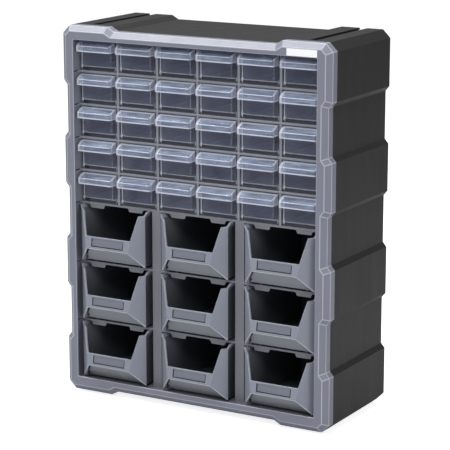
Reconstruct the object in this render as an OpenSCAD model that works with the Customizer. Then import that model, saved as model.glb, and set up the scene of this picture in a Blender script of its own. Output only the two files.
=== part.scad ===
// Parts bin cabinet: a stepped housing with a front frame and a rack of small drawers over open-front bins.
// Every piece is drawn in the cabinet's own frame: X across with its middle at 0, Y back from the frame's
// front face, and Z up from the frame's bottom edge. placed() then moves it over the middle of its footprint.

/* [Cabinet] */
// Depth from the frame's front face to the rear edge
cab_d = 160; // [140:1:200]
// Inside of the rack's side to the outside of the raised bands
side_margin = 16.3; // [14:0.1:24]
// Bottom edge to the top of the lowest shelf
base_margin = 16.7; // [15:0.1:24]
// Top of the rack to the top edge
top_margin = 15.65; // [14:0.05:24]
// Wall of the housing and of the frame
wall = 2.6; // [2:0.1:3]

/* [Stepped outline] */
// Cut off each corner
corner_cut = 10; // [7:0.5:14]
// Depth of the recessed bands
band_step = 5; // [3:0.5:6]
// Height of the slope between two bands
slope_h = 6; // [4:0.5:10]
// Length of the raised corner lands along the top and bottom
corner_land = 56.7; // [40:0.1:80]
// Run of the slope that ends a corner land
land_slope = 9; // [5:0.5:14]

/* [Front frame] */
// Depth of the frame, as far as the housing
frame_d = 17.5; // [15:0.5:24]
// Width of the bevel round the outer edge
bevel_w = 7.15; // [4:0.05:7.4]
// Depth of that bevel
bevel_d = 6.2; // [4:0.1:7.5]
// Thickness of the front face
face_t = 3; // [2:0.1:4]
// Clearance between the opening's sides and the outer drawers
lip_gap = 0.8; // [0.4:0.1:1.6]
// Clearance between the sill and the lowest bins
sill_gap = 0.4; // [0.3:0.1:1.5]
// Amount that the frame covers the rack at the top
lip_top = 2; // [0.5:0.1:2.2]
// Length of the housing's tongue inside the frame
tongue_l = 4; // [2:0.5:6]
// Thickness of that tongue
tongue_t = 1.5; // [1:0.1:2]
// Clearance between the tongue and the frame
tongue_gap = 0.3; // [0.1:0.05:0.6]

/* [Label] */
// Width of the label
label_w = 40.4; // [20:0.2:60]
// Margin above and below the label, on the frame's flat face
label_edge = 0.95; // [0.5:0.05:2.5]
// Thickness of the label
label_t = 0.4; // [0.3:0.1:0.6]

/* [Rack] */
// Column pitch of the small drawers
cell_w = 57.9; // [50:0.1:70]
// Row pitch of the small drawers
cell_h = 42.15; // [41:0.05:55]
// Row pitch of the bins
bin_cell_h = 77.3; // [76:0.1:100]
// Thickness of the shelves and of the rack's sides
shelf_t = 2.4; // [2:0.1:2.6]
// Thickness of the uprights between small drawers
divider_t = 2.8; // [2:0.1:3.4]
// Width of the hollow uprights between bins
bin_divider_w = 12.5; // [8:0.1:15]
// Wall of the hollow uprights
bin_divider_wall = 2; // [1.6:0.1:2.4]
// Face of the frame to the front edges of the shelves and uprights
shelf_y = 15.5; // [14:0.1:16]
// Thickness of the housing's ribs that carry the rack
rib_t = 2.4; // [1.8:0.1:3]

/* [Stops] */
// Height of the stop bar under a drawer shelf
stop_bar_h = 1.6; // [1.2:0.1:2]
// Depth of the stop bar
stop_bar_d = 1.7; // [1.2:0.1:2.4]
// Width of a bin's stop tab at its root
tab_w = 23; // [12:0.5:26]
// Amount that each end of a tab slopes in
tab_slope = 2.2; // [1:0.1:4]
// Height of a tab
tab_h = 4.7; // [3:0.1:6]
// Thickness of a tab
tab_t = 2; // [1.6:0.1:3]
// Set-back of the tabs behind the shelf's front edge
tab_set = 0.5; // [0:0.1:2]
// Bin's side wall to the middle of the tab
tab_in = 19.2; // [15:0.1:30]
// Gap from a drawer's front panel to the stop bar
stop_gap = 0.9; // [0.4:0.1:2]

/* [Small drawer] */
// Set-back of the drawers' front panels behind the shelves' front edges
drawer_set = 1.5; // [0.5:0.1:3]
// Clearance at each side of a drawer
drawer_gap = 1.2; // [0.6:0.1:2]
// Wall of a drawer
drawer_t = 1.4; // [1:0.1:2]
// Radius of the two lower edges
drawer_r = 5; // [3:0.5:8]
// Gap from the front panel's top to the shelf above
head_gap = 1.15; // [0.6:0.05:3]
// Gap from the side walls' top to the stop bar
side_gap = 1.35; // [0.5:0.05:6]
// Width of the stop lug on the back wall
lug_w = 16; // [8:1:24]
// Gap from the lug's top to the shelf above
lug_gap = 0.45; // [0.3:0.05:0.7]
// Gap behind the drawers and bins
rear_gap = 5.3; // [3:0.1:12]

/* [Drawer pull] */
// Front panel's side edge to the side of the hooded pull
pull_in = 1.1; // [0.5:0.1:5]
// Amount that the pull stands out from the front panel
pull_out = 13.8; // [10:0.1:15]
// Height of the pull's lower edge
pull_z = 24.8; // [20:0.2:28]
// Radius of the hood
pull_r = 7; // [4:0.5:9]
// Radius of the two upright corners
pull_corner = 4.5; // [2:0.5:6]
// Wall of the pull
pull_t = 1.6; // [1.2:0.1:2]

/* [Bin] */
// Gap from a bin's side wall to the rack
bin_gap = 5.7; // [4:0.1:10]
// Wall of a bin
bin_t = 2; // [1.6:0.1:2.4]
// Height of the runners that carry a bin
runner_h = 2.5; // [2:0.1:4]
// Width of a runner
runner_w = 3; // [2:0.5:6]
// Bin's side wall to the middle of its runner
runner_in = 16; // [8:0.5:30]
// Gap from the rim's top to the shelf above
rim_gap = 0.9; // [0.5:0.1:3]
// Height of the leaning rim on top of the side walls
rim_h = 4.8; // [3:0.1:5]
// Amount that the rim leans out
rim_lean = 2.6; // [1:0.1:3]
// Set-back of the rim's front end at its top
rim_back = 5.5; // [3:0.5:9]
// Face of the frame to the front edges of the side walls
bin_side_y = 7.7; // [5:0.1:10]

/* [Bin nose] */
// Amount that the front bar stands out from the frame's face
nose_out = 8; // [4:0.1:12]
// Amount that the nose draws in at each side, up to the bar's upper edge
nose_in = 14.5; // [10:0.1:18]
// Height of the bar's lower edge above the shelf
bar_z = 22.2; // [16:0.2:26]
// Height of the bar's upper edge above the shelf
bar_top_z = 38; // [32:0.5:46]
// Amount that the bar leans back from its lower to its upper edge
bar_lean = 2.6; // [1:0.1:4]
// Amount that the mouth's upper ends lie inside the side walls
mouth_in = 6.3; // [4:0.1:9]
// Depth of the finger grip behind the nose's lower edges
grip_d = 4; // [2:0.2:6]
// Width of the label recess in the bar
recess_w = 48; // [30:1:54]
// Height of the label recess
recess_h = 11; // [6:0.5:12]
// Amount that the label recess lies above the middle of the bar
recess_up = 0.6; // [0:0.1:1]
// Depth of the label recess
recess_d = 0.9; // [0.4:0.1:1.2]

/* [Back panel] */
// Thickness of the back panel
panel_t = 2.5; // [2:0.1:4]
// Distance of the panel inside the housing's rear edge
panel_inset = 2.2; // [1:0.1:6]
// Clearance round the panel
panel_gap = 0.25; // [0.15:0.05:0.5]
// Diameter of the two wall-screw holes
screw_d = 5; // [4:0.5:6]

/* [Stacking] */
// Side of the cabinet to the middle of a rail
rail_in = 36.7; // [30:0.1:46]
// Height of the rails under the housing
rail_h = 4; // [2:0.2:6]
// Width of a rail at its root
rail_w = 9; // [6:0.2:12]
// Width of a rail at its lower edge
rail_foot = 6; // [4:0.2:6]
// Clearance between a rail and its groove
rail_gap = 0.5; // [0.3:0.1:0.8]
// Face of the frame to the front end of the rails
rail_y = 19.5; // [18:0.5:30]
// Face of the frame to the front end of the grooves
groove_y = 26; // [24:0.5:40]

/* [Hidden] */
$fn = 48;
DRAWER_ROWS = 5;
DRAWER_COLS = 6;
BIN_ROWS = 3;
BIN_COLS = 3;
BANDS = 7;

// Running clearance under a drawer and under a bin
glide = 0.3;
// Length by which a cutter passes the face that it opens
over = 1;
// Length by which a joined piece enters the piece that it stands on
bond = 0.8;

// Overall sizes
rack_w = DRAWER_COLS*cell_w;
cab_w = rack_w + 2*side_margin;
drawer_zone_h = DRAWER_ROWS*cell_h;
bin_zone_h = BIN_ROWS*bin_cell_h;
rack_top = base_margin + bin_zone_h + drawer_zone_h;
cab_h = rack_top + top_margin;
band_h = (cab_h - 2*corner_cut - (BANDS - 1)*slope_h)/BANDS;

// Rack
rack_out = rack_w + 2*shelf_t;
panel_y = cab_d - panel_inset - panel_t;
bin_pitch = (rack_w + bin_divider_w)/BIN_COLS;
clear_h = cell_h - shelf_t;
bin_clear_h = bin_cell_h - shelf_t;
content_rear = panel_y - rear_gap;

// Small drawers
drawer_w = cell_w - divider_t - 2*drawer_gap;
drawer_y = shelf_y + drawer_set;
drawer_front_h = clear_h - glide - head_gap;
drawer_side_h = clear_h - stop_bar_h - glide - side_gap;
lug_h = clear_h - glide - lug_gap;
pull_w = drawer_w - 2*pull_in;
pull_y = drawer_y - pull_out;
stop_y = drawer_y + drawer_t + stop_gap;

// Bins, with heights above their own shelf
bin_w = bin_pitch - bin_divider_w - 2*bin_gap;
bin_z = runner_h + glide;
mouth_z = bin_clear_h - rim_gap - rim_h;

// Opening of the frame
lip_side = divider_t/2 + drawer_gap - lip_gap;
sill_z = base_margin + bin_z - sill_gap;
opening_top = rack_top - lip_top;

// Stacking rails
rail_x = cab_w/2 - rail_in;

// Run across the bevel of one wall, measured square to the bevel
bevel_run = wall*norm([bevel_w, bevel_d])/bevel_d;

// Right half of the stepped outline, bottom to top
half_outline = concat(
    [[cab_w/2 - corner_cut - corner_land - land_slope, band_step],
     [cab_w/2 - corner_cut - corner_land, 0],
     [cab_w/2 - corner_cut, 0]],
    [for (k = [0:BANDS - 1])
        let (x = cab_w/2 - (k % 2 == 0 ? 0 : band_step),
             z = corner_cut + k*(band_h + slope_h))
        each [[x, z], [x, z + band_h]]],
    [[cab_w/2 - corner_cut, cab_h],
     [cab_w/2 - corner_cut - corner_land, cab_h],
     [cab_w/2 - corner_cut - corner_land - land_slope, cab_h - band_step]]);

// A right half made whole, counter-clockwise as seen from the front
function whole(h) = concat(h, [for (k = [len(h) - 1:-1:0]) [-h[k][0], h[k][1]]]);

outline = whole(half_outline);

// The opening, with one point for each point of the outline
opening_x = rack_w/2 - lip_side;
opening = whole([for (p = half_outline)
    p[0] > cab_w/2 - corner_cut
        ? [opening_x, min(max(p[1], sill_z + corner_cut), opening_top - corner_cut)]
        : [min(p[0], opening_x), p[1] < cab_h/2 ? sill_z : opening_top]]);

// Unit vector that points inwards from the edge that runs from a to b
function inward(a, b) = [a[1] - b[1], b[0] - a[0]]/norm(b - a);

// A closed path with every edge moved inwards by d
function inset(p, d) =
    [for (k = [0:len(p) - 1])
        let (n1 = inward(p[(k + len(p) - 1) % len(p)], p[k]),
             n2 = inward(p[k], p[(k + 1) % len(p)]))
        p[k] + d*(n1 + n2)/(1 + n1*n2)];

// Closed hoop through rings of equal length, each given as [path in X and Z, Y], and back to the first
module hoop(rings) {
    n = len(rings[0][0]);
    m = len(rings);
    polyhedron(
        points = [for (r = rings, p = r[0]) [p[0], r[1], p[1]]],
        faces = [for (j = [0:m - 1], k = [0:n - 1])
            let (next = (k + 1) % n, back = (j + 1) % m)
            [j*n + k, j*n + next, back*n + next, back*n + k]],
        convexity = 10);
}

// Tube along Y between the outline drawn in by d0 and by d1
module stepped_tube(d0, d1, y0, length) {
    along_y(y0, length)
        difference() {
            polygon(inset(outline, d0));
            polygon(inset(outline, d1));
        }
}

// Extrusions of a drawing along Y from y0, and across X about the middle
module along_y(y0, length) {
    translate([0, y0 + length, 0]) rotate([90, 0, 0]) linear_extrude(length) children();
}

module across_x(length) {
    rotate([90, 0, 90]) linear_extrude(length, center = true) children();
}

module both_sides() {
    children();
    mirror([1, 0, 0]) children();
}

module placed() {
    translate([0, (nose_out - cab_d)/2, rail_h]) children();
}

// ---- Housing ----

// A rib along the housing, from z0 to z1 at x
module floor_rib(x, z0, z1) {
    translate([x - rib_t/2, frame_d + wall, z0]) cube([rib_t, panel_y - frame_d - wall, z1 - z0]);
}

// A rib from the recessed band k to the rack's side
module side_rib(k) {
    translate([rack_out/2, frame_d + wall, corner_cut + k*(band_h + slope_h) + (band_h - rib_t)/2])
        cube([cab_w/2 - band_step - wall + bond - rack_out/2, panel_y - frame_d - wall, rib_t]);
}

module rail() {
    translate([rail_x, 0, 0])
        along_y(rail_y, cab_d - rail_y)
            polygon([[-rail_foot/2, -rail_h], [rail_foot/2, -rail_h], [rail_w/2, 0], [rail_w/2, bond],
                     [-rail_w/2, bond], [-rail_w/2, 0]]);
}

// Box round the groove's place in the top, grown by d at the sides, front and bottom
module groove_box(d, y1, z1) {
    w = rail_w + 2*rail_gap + 2*d;
    z0 = cab_h - rail_h - rail_gap - d;
    translate([rail_x - w/2, groove_y - d, z0]) cube([w, y1 - groove_y + d, z1 - z0]);
}

// Tongue that locates the front frame, on a step inside the housing's front edge
module tongue() {
    inner = wall + tongue_gap + tongue_t;
    stepped_tube(wall + tongue_gap, inner, frame_d - tongue_l, tongue_l + bond);
    stepped_tube(wall - bond, inner, frame_d, tongue_t);
}

module housing() {
    color("#1d1d1e") {
        difference() {
            union() {
                stepped_tube(0, wall, frame_d, cab_d - frame_d);
                both_sides() groove_box(wall, panel_y, cab_h - bond);
            }
            both_sides() groove_box(0, cab_d + over, cab_h + over);
        }
        tongue();
        both_sides() {
            rail();
            floor_rib(bin_pitch/2, band_step + wall - bond, base_margin - shelf_t);
            floor_rib(rail_x, wall - bond, base_margin - shelf_t);
            floor_rib(bin_pitch/2, rack_top, cab_h - band_step - wall + bond);
            for (k = [1:2:BANDS - 2]) side_rib(k);
        }
    }
}

// ---- Back panel ----

// The two holes for wall screws are reached through the outer cells of the top row
module back_panel() {
    color("#222223")
        difference() {
            along_y(panel_y, panel_t) polygon(inset(outline, wall + panel_gap));
            both_sides()
                translate([drawer_x(DRAWER_COLS), panel_y - over, drawer_z(1) + cell_h/2])
                    rotate([-90, 0, 0]) cylinder(d = screw_d, h = panel_t + 2*over);
        }
}

// ---- Front frame ----

// Its section runs round the bevel, back to the housing, in along the rim, and forward behind the bevel
module front_frame() {
    rim = inset(outline, wall);
    color("#8a8e9b")
        hoop([[inset(outline, bevel_w), 0], [outline, bevel_d], [outline, frame_d], [rim, frame_d],
              [rim, bevel_d*(1 + (bevel_run - wall)/bevel_w)],
              [inset(outline, bevel_w*(1 - face_t/bevel_d) + bevel_run), face_t],
              [opening, face_t], [opening, 0]]);
}

module blank_label() {
    color("#f4f4f2")
        translate([rack_w/2 - lip_side - label_w, -label_t, opening_top + label_edge])
            cube([label_w, label_t, cab_h - bevel_w - opening_top - 2*label_edge]);
}

// ---- Rack ----

// A shelf whose top is at z, with its front edge at y0
module shelf(z, y0) {
    translate([-rack_out/2, y0, z - shelf_t]) cube([rack_out, panel_y - y0, shelf_t]);
}

// The rack's two sides beside a row that starts at z
module rack_sides(z, h) {
    both_sides() translate([rack_w/2, face_t, z]) cube([shelf_t, panel_y - face_t, h]);
}

// Runners under the three bins of the row whose floor is at z
module runners(z) {
    for (c = [1:BIN_COLS], s = [-1, 1])
        translate([bin_x(c) + s*(bin_w/2 - runner_in) - runner_w/2, shelf_y + wall, z - bond])
            cube([runner_w, content_rear - shelf_y - 2*wall, runner_h + bond]);
}

function drawer_x(c) = (c - (DRAWER_COLS + 1)/2)*cell_w;
function drawer_z(r) = rack_top - r*cell_h;
function bin_x(c) = (c - (BIN_COLS + 1)/2)*bin_pitch;
function bin_floor(r) = base_margin + (BIN_ROWS - r)*bin_cell_h;

module drawer_tier(r) {
    z = drawer_z(r);
    color("#7f838f") {
        shelf(z + cell_h, r == 1 ? face_t : shelf_y);
        rack_sides(z, clear_h + bond);
        for (c = [1:DRAWER_COLS - 1])
            translate([drawer_x(c) + cell_w/2 - divider_t/2, shelf_y, z])
                cube([divider_t, panel_y - shelf_y, clear_h + bond]);
        translate([-rack_w/2 - bond, stop_y, z + clear_h - stop_bar_h])
            cube([rack_w + 2*bond, stop_bar_d, stop_bar_h + bond]);
    }
}

// Hollow upright between two bins, open at the rear
module bin_divider(z) {
    translate([-bin_divider_w/2, shelf_y, z])
        difference() {
            cube([bin_divider_w, panel_y - shelf_y, bin_clear_h + bond]);
            translate([bin_divider_wall, bin_divider_wall, -over])
                cube([bin_divider_w - 2*bin_divider_wall, panel_y, bin_clear_h + over]);
        }
}

module bin_tier(r) {
    z = bin_floor(r);
    color("#7f838f") {
        shelf(z + bin_cell_h, shelf_y);
        rack_sides(z, bin_clear_h + bond);
        for (c = [1:BIN_COLS - 1]) translate([bin_x(c) + bin_pitch/2, 0, 0]) bin_divider(z);
        for (c = [1:BIN_COLS], s = [-1, 1])
            translate([bin_x(c) + s*(bin_w/2 - tab_in), 0, z + bin_clear_h])
                along_y(shelf_y + tab_set, tab_t)
                    polygon([[-tab_w/2, bond], [-tab_w/2, 0], [tab_slope - tab_w/2, -tab_h],
                             [tab_w/2 - tab_slope, -tab_h], [tab_w/2, 0], [tab_w/2, bond]]);
        if (r > 1) runners(z + bin_cell_h);
    }
}

module base_shelf() {
    color("#7f838f") {
        shelf(base_margin, face_t);
        runners(base_margin);
    }
}

// ---- Small drawer ----

// Cross-section with rounded lower corners
module tub_section(w, h, r) {
    translate([-w/2, r]) square([w, h - r]);
    translate([r - w/2, 0]) square([w - 2*r, h]);
    for (s = [-1, 1]) translate([s*(w/2 - r), r]) circle(r);
}

// The pull drawn in by d: side view with the hood's curve, and top view with rounded corners
module pull_side(d, low) {
    translate([pull_y + pull_r, low]) square([drawer_y - pull_y - pull_r, drawer_front_h - d - low]);
    translate([pull_y + d, low]) square([drawer_y - pull_y - d, drawer_front_h - pull_r - low]);
    translate([pull_y + pull_r, drawer_front_h - pull_r]) circle(pull_r - d);
}

module pull_top(d) {
    translate([d - pull_w/2, pull_y + pull_corner])
        square([pull_w - 2*d, drawer_y - pull_y - pull_corner]);
    translate([pull_corner - pull_w/2, pull_y + d])
        square([pull_w - 2*pull_corner, drawer_y - pull_y - d]);
    for (s = [-1, 1])
        translate([s*(pull_w/2 - pull_corner), pull_y + pull_corner]) circle(pull_corner - d);
}

module pull_form(d, low) {
    intersection() {
        across_x(pull_w) pull_side(d, low);
        linear_extrude(drawer_front_h) pull_top(d);
    }
}

module small_drawer(r, c) {
    translate([drawer_x(c), 0, drawer_z(r) + glide])
        color("#c9d3e2", 0.55) {
            difference() {
                union() {
                    along_y(drawer_y, content_rear - drawer_y) tub_section(drawer_w, drawer_side_h, drawer_r);
                    along_y(drawer_y, drawer_t) tub_section(drawer_w, drawer_front_h, drawer_r);
                }
                translate([0, 0, drawer_t])
                    along_y(drawer_y + drawer_t, content_rear - drawer_y - 2*drawer_t)
                        tub_section(drawer_w - 2*drawer_t, drawer_side_h + over, drawer_r - drawer_t);
            }
            translate([-lug_w/2, content_rear - drawer_t, drawer_side_h - bond])
                cube([lug_w, drawer_t, lug_h - drawer_side_h + bond]);
            difference() {
                pull_form(0, pull_z);
                pull_form(pull_t, pull_z - over);
            }
        }
}

// ---- Bin ----

// In plan the nose's two slanted sides run in from the side walls' front edges to the bar
nose_dy = bin_side_y + nose_out - bar_lean;
nose_stretch = norm([nose_in, nose_dy])/nose_in;
// Amount that the nose draws in at each side, up to the bar's lower edge
bar_in = (bin_side_y + nose_out)*nose_in/nose_dy;

module nose_plan() {
    // The two sides are carried past the bar, which ends them
    reach = 1.5;
    x = bin_w/2 - reach*nose_in;
    y = bin_side_y - reach*nose_dy;
    polygon([[bin_w/2, content_rear], [bin_w/2, bin_side_y], [x, y], [-x, y], [-bin_w/2, bin_side_y],
             [-bin_w/2, content_rear]]);
}

// Slanted side of the nose, drawn flat and turned into place
module nose_side() {
    translate([bin_w/2, bin_side_y, 0])
        rotate([90, 0, 180 + atan2(nose_dy, nose_in)])
            linear_extrude(bin_t)
                polygon([[0, bin_z], [0, mouth_z], [mouth_in*nose_stretch, mouth_z],
                         [nose_in*nose_stretch, bar_top_z], [bar_in*nose_stretch, bar_z]]);
}

// The nose's lower edges slope back from the bar to the side walls' lower corners
grip_slope = [bin_side_y + nose_out, bar_z - bin_z];
grip_nz = norm(grip_slope)/grip_slope[1];

// Face of the sloping panel at a height: it lies one grip depth behind those edges
function panel_face(z) = (bar_z - z)*grip_slope[0]/grip_slope[1] + grip_d*grip_nz - nose_out;

// Side view of the bar and of the sloping panel that forms the finger grip below it
module nose_section() {
    bar_run = bin_t*norm([bar_lean, bar_top_z - bar_z])/(bar_top_z - bar_z);
    floor_z = bin_z + bin_t;
    polygon([[-nose_out, bar_z], [bar_run - nose_out, bar_z], [bar_lean + bar_run - nose_out, bar_top_z],
             [bar_lean - nose_out, bar_top_z]]);
    polygon([[bin_t/2 - nose_out, bar_z], [panel_face(bar_z), bar_z], [panel_face(bin_z), bin_z],
             [panel_face(bin_z) + 2*bin_t, bin_z], [panel_face(bin_z) + 2*bin_t, floor_z],
             [panel_face(floor_z) + bin_t*grip_nz, floor_z],
             [panel_face(bar_z + bin_t) + bin_t*grip_nz, bar_z + bin_t],
             [bin_t/2 - nose_out, bar_z + bin_t]]);
}

module rim() {
    intersection() {
        along_y(bin_side_y - over, content_rear - bin_side_y + over)
            polygon([[bin_w/2 - bin_t, mouth_z - bond], [bin_w/2, mouth_z - bond],
                     [bin_w/2 + rim_lean, mouth_z + rim_h], [bin_w/2 + rim_lean - bin_t, mouth_z + rim_h]]);
        across_x(bin_w + 2*rim_lean + 2*over)
            polygon([[bin_side_y, mouth_z - 2*bond], [content_rear, mouth_z - 2*bond],
                     [content_rear, mouth_z + rim_h], [bin_side_y + rim_back, mouth_z + rim_h],
                     [bin_side_y, mouth_z]]);
    }
}

module open_bin(r, c) {
    lean_angle = atan2(bar_lean, bar_top_z - bar_z);
    translate([bin_x(c), 0, bin_floor(r)])
        color("#8f94a1") {
            both_sides() {
                translate([bin_w/2 - bin_t, bin_side_y, bin_z])
                    cube([bin_t, content_rear - bin_side_y, mouth_z - bin_z]);
                nose_side();
                rim();
            }
            translate([bin_t - bin_w/2 - bond, panel_face(bin_z) + bin_t, bin_z])
                cube([bin_w - 2*bin_t + 2*bond, content_rear - panel_face(bin_z) - bin_t, bin_t]);
            translate([bin_t - bin_w/2 - bond, content_rear - bin_t, bin_z])
                cube([bin_w - 2*bin_t + 2*bond, bin_t, mouth_z + rim_h - bin_z]);
            difference() {
                intersection() {
                    across_x(bin_w) nose_section();
                    linear_extrude(bar_top_z) nose_plan();
                }
                translate([-recess_w/2, -nose_out, bar_z])
                    rotate([-lean_angle, 0, 0])
                        translate([0, -over, (bar_top_z - bar_z - recess_h)/2 + recess_up])
                            cube([recess_w, recess_d + over, recess_h]);
            }
        }
}

placed() housing();
placed() back_panel();
placed() front_frame();
placed() blank_label();
placed() base_shelf();
for (r = [1:DRAWER_ROWS])
    placed() drawer_tier(r);
for (r = [1:BIN_ROWS])
    placed() bin_tier(r);
for (r = [1:DRAWER_ROWS], c = [1:DRAWER_COLS])
    placed() small_drawer(r, c);
for (r = [1:BIN_ROWS], c = [1:BIN_COLS])
    placed() open_bin(r, c);
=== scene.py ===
# %% [markdown]
# # Parts bin cabinet
# A wall or bench cabinet of moulded plastic: a black stepped housing, a grey front frame, a rack with thirty clear
# drawers in five rows, and nine open-front bins in three rows below them. The CAD model already has every solid in
# its place and at its size. This lesson gives it its looks: the camera, the studio, the plastics, and the drawers
# and bins modelled again with the soft edges that a mould leaves.

# %% Load the cabinet
import math
import bmesh
import bpy
from mathutils import Matrix, Vector


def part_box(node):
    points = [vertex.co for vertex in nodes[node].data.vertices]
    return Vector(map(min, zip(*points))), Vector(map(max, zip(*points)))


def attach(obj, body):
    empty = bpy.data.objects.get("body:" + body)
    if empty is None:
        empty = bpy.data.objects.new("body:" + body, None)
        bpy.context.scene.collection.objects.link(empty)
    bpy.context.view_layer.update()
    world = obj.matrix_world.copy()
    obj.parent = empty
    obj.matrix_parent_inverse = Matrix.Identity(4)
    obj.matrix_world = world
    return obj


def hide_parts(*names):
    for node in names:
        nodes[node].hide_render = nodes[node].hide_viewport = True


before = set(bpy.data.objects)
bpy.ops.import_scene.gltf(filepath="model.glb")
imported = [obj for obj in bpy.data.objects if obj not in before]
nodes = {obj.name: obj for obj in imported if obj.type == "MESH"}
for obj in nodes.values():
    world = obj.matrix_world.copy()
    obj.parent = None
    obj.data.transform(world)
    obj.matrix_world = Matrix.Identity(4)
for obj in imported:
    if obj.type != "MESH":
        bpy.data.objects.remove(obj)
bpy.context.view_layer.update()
MM = 0.001  # one millimetre in Blender's metres
DRAWER_ROWS, DRAWER_COLUMNS, BIN_ROWS, BIN_COLUMNS = 5, 6, 3, 3

# %% [markdown]
# ## Camera
# The photograph looks at the front from the right and from a little above, through a long lens, so the uprights
# stay almost parallel. A camera could be aimed by hand, but the place and the lens here were worked out from the
# cabinet's known corners, so the render and the photograph can be laid over each other.

# %% Camera
IMAGE_WIDTH, FOCAL_PIXELS = 450, 1945.6
CAMERA_PLACE = (1.2047, -2.0759, 0.7721)
CAMERA_TURN, CAMERA_DOWN = 30.04, 12.76  # degrees

camera_data = bpy.data.cameras.new("camera")
camera_data.sensor_width = 36
camera_data.lens = FOCAL_PIXELS / IMAGE_WIDTH * camera_data.sensor_width
camera = bpy.data.objects.new("camera", camera_data)
camera.location = CAMERA_PLACE
camera.rotation_euler = (math.radians(90 - CAMERA_DOWN), 0, math.radians(CAMERA_TURN))
bpy.context.scene.collection.objects.link(camera)
bpy.context.scene.camera = camera
print("lens", round(camera_data.lens, 1), "mm")

# %% [markdown]
# ## Shader maths as Python
# The tone of a plastic is a small sum: some cloudiness, some grain, round a middle value. Such a sum is easier to
# read as an expression than as a chain of nodes. A Signal stands for one output of a node. When it meets a Python
# operator it adds the Math node that does the work, so 1 - mask is one line.

# %% Signal
class Signal:
    """One output of a node. Operators on it add Math nodes."""

    def __init__(self, finish, socket):
        self.finish, self.socket = finish, socket

    def maths(self, operation, *values):
        return self.finish.add("ShaderNodeMath", {"operation": operation}, dict(enumerate(values)))

    def __add__(self, other): return self.maths("ADD", self, other)
    def __sub__(self, other): return self.maths("SUBTRACT", self, other)
    def __rsub__(self, other): return self.maths("SUBTRACT", other, self)
    def __mul__(self, other): return self.maths("MULTIPLY", self, other)
    __radd__, __rmul__ = __add__, __mul__


print("a Signal can be added to, taken from and multiplied")

# %% [markdown]
# ## A finish as one object
# A new material starts with Blender's Principled shader. Its nodes could be dragged in by hand, but a script that
# makes, sets and links each one in lines of its own hides what the finish is. Here one method takes a node's type,
# its settings and its inputs, and another feeds signals to the shader. The studio's world has nodes too, and the
# same methods serve it.

# %% Finish
WHITE = (1, 1, 1, 1)


class Finish:
    """A material whose nodes are added by one method."""

    def __init__(self, name, **fixed):
        self.material = bpy.data.materials.new(name)
        self.material.use_nodes = True
        self.tree = self.material.node_tree
        self.shader = self.tree.nodes["Principled BSDF"]
        for socket, value in fixed.items():
            self.shader.inputs[socket.replace("_", " ")].default_value = value

    def add(self, kind, settings=None, inputs=None, output=0):
        node = self.tree.nodes.new(kind)
        for name, value in (settings or {}).items():
            setattr(node, name, value)
        for name, value in (inputs or {}).items():
            if isinstance(value, Signal):
                self.tree.links.new(value.socket, node.inputs[name])
            else:
                node.inputs[name].default_value = value
        return Signal(self, node.outputs[output])

    def feed(self, **signals):
        for socket, signal in signals.items():
            self.tree.links.new(signal.socket, self.shader.inputs[socket.replace("_", " ")])


class Surround(Finish):
    """The world's own nodes, which the same methods add to and feed."""

    def __init__(self, world):
        self.tree = world.node_tree
        self.shader = self.tree.nodes["Background"]
        self.shader.inputs["Color"].default_value = WHITE


print("a Finish can:", [name for name in vars(Finish) if not name.startswith("_")])

# %% [markdown]
# ## Colours as seen on a screen
# A colour is easy to name as three numbers from 0 to 255, as a screen shows it. A shader counts light instead, in
# which half as bright to the eye is only about a fifth of the light. This function turns the one into the other.

# %% Screen colours
def srgb(r, g, b):
    """A colour as read off a screen, 0 to 255, as the linear colour that shaders use."""
    def linear(v):
        v = v / 255
        return v / 12.92 if v <= 0.04045 else ((v + 0.055) / 1.055) ** 2.4
    return (linear(r), linear(g), linear(b), 1)


print("a mid grey as light:", [round(v, 3) for v in srgb(128, 128, 128)])

# %% [markdown]
# ## Floor and backdrop
# The photograph has a white background and a faint shadow at the cabinet's foot. A floor lit until it is white
# would throw too much light on the black housing. So the floor is pale grey and the world is dim, and Light Path
# lets both look white only where the camera sees them. The floor runs far back, so there is no horizon.

# %% Floor and world
bpy.ops.object.select_all(action="DESELECT")
bpy.ops.mesh.primitive_plane_add(size=40, location=(0, 12, 0))
floor = bpy.context.object
floor.name = "floor"
floor_finish = Finish("pale floor", Base_Color=srgb(200, 201, 203), Roughness=0.6, Emission_Color=WHITE)
camera_ray = floor_finish.add("ShaderNodeLightPath", output="Is Camera Ray")
floor_finish.feed(Emission_Strength=camera_ray * 0.85)
floor.data.materials.append(floor_finish.material)

WORLD_LIGHT = 0.22
world = bpy.data.worlds.new("studio")
world.use_nodes = True
surround = Surround(world)
camera_ray = surround.add("ShaderNodeLightPath", output="Is Camera Ray")
surround.feed(Strength=camera_ray * (1 - WORLD_LIGHT) + WORLD_LIGHT)
bpy.context.scene.world = world
bpy.context.scene.view_settings.view_transform = "Standard"
print("world light:", WORLD_LIGHT)

# %% [markdown]
# ## Lamps
# The tops of the frame are bright in the photograph, its front is even, and the housing's side stays dark. One big
# lamp can't do that. A small one high on the left lights the top edges, a wide one overhead all that faces up, one
# in front the drawers and bins, and a weak one on the right the side. A lamp shines along its own -Z axis, so it
# is turned until that axis points from its place to its aim.

# %% Lamps
LAMPS = (  # name, place, aim, size, power
    ("key", (-1.05, -0.57, 2.12), (0, -0.05, 0.4), (0.9, 0.9), 27),
    ("overhead", (0.0, 0.3, 2.5), (0, 0, 0.4), (2.4, 1.8), 44),
    ("front", (0.3, -2.0, 2.1), (0, 0, 0.25), (1.6, 1.2), 37),
    ("side fill", (2.5, -0.9, 0.9), (0.1, 0, 0.25), (1.0, 1.0), 15))

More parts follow.
